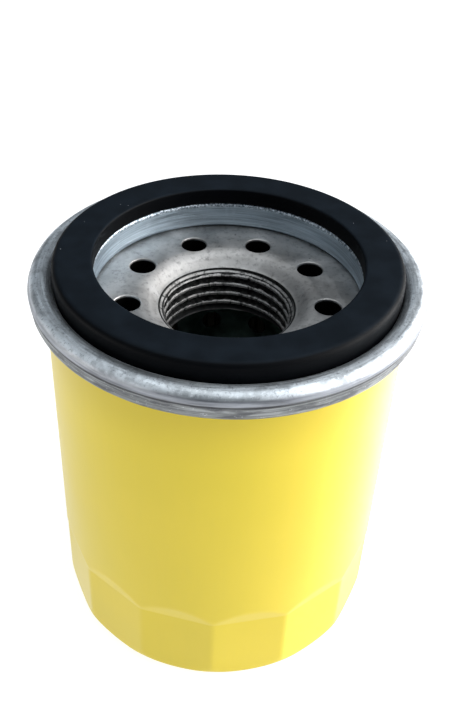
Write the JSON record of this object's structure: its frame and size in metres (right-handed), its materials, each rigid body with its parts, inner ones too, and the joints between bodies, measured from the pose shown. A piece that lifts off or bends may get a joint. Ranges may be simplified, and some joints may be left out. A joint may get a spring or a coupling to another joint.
{
  "type": "oil filter",
  "caption": "Small spin-on oil filter: painted can with wrench flats, double-seamed lid, face gasket, threaded tapping plate, pleated element, drain-back and bypass valves.",
  "frame": {"origin": "centre of the closed end, on the plane that the filter stands on", "axes": "+Z along the thread's axis, from the closed end to the gasket; +X and +Y square to it, a corner between two wrench flats lies on -Y"},
  "size_m": [0.0542, 0.0542, 0.0616],
  "materials": {
    "yellow_enamel": "smooth satin enamel over deep drawn steel",
    "galvanised_sheet": "galvanised, softly streaked round the rim",
    "seam_compound": "matte",
    "bare_steel": "bare, lightly oiled",
    "nitrile_rubber": "matte moulded",
    "valve_rubber": "matte moulded",
    "tinplate": "pressed tinplate",
    "tube_steel": "dark phosphated, oily",
    "filter_paper": "resin treated, matte",
    "adhesive": "cured plastisol",
    "spring_steel": "drawn wire"
  },
  "bodies": {
    "housing": {"can_shell": "yellow_enamel", "seaming_lid": "galvanised_sheet", "seam_sealant": "seam_compound", "tapping_plate": "bare_steel", "sealing_gasket": "nitrile_rubber", "element_spring": "spring_steel"},
    "drainback": {"drainback_valve": "valve_rubber"},
    "element": {"upper_end_cap": "tinplate", "lower_end_cap": "tinplate", "centre_tube": "tube_steel", "pleated_media": "filter_paper", "media_seam_clip": "tinplate", "upper_potting": "adhesive", "lower_potting": "adhesive", "bypass_seat": "tinplate", "bypass_cage": "tinplate", "bypass_spring": "spring_steel", "spring_seat": "tinplate"},
    "bypass": {"bypass_seal": "valve_rubber", "bypass_poppet": "bare_steel"}
  },
  "joints": [
    {"name": "element_float", "type": "slide", "parent": "housing", "child": "element", "axis": [0, 0, 1], "range_m": [-0.001, 0], "stiffness_N_per_m": 5000, "springref_m": 0.004, "deforming": ["element_spring"]},
    {"name": "drainback_open", "type": "slide", "parent": "housing", "child": "drainback", "axis": [0, 0, 1], "range_m": [-0.0012, 0], "stiffness_N_per_m": 300, "springref_m": 0.001},
    {"name": "bypass_open", "type": "slide", "parent": "element", "child": "bypass", "axis": [0, 0, 1], "range_m": [0, 0.0025], "stiffness_N_per_m": 2500, "springref_m": -0.006, "deforming": ["bypass_spring"]}
  ]
}
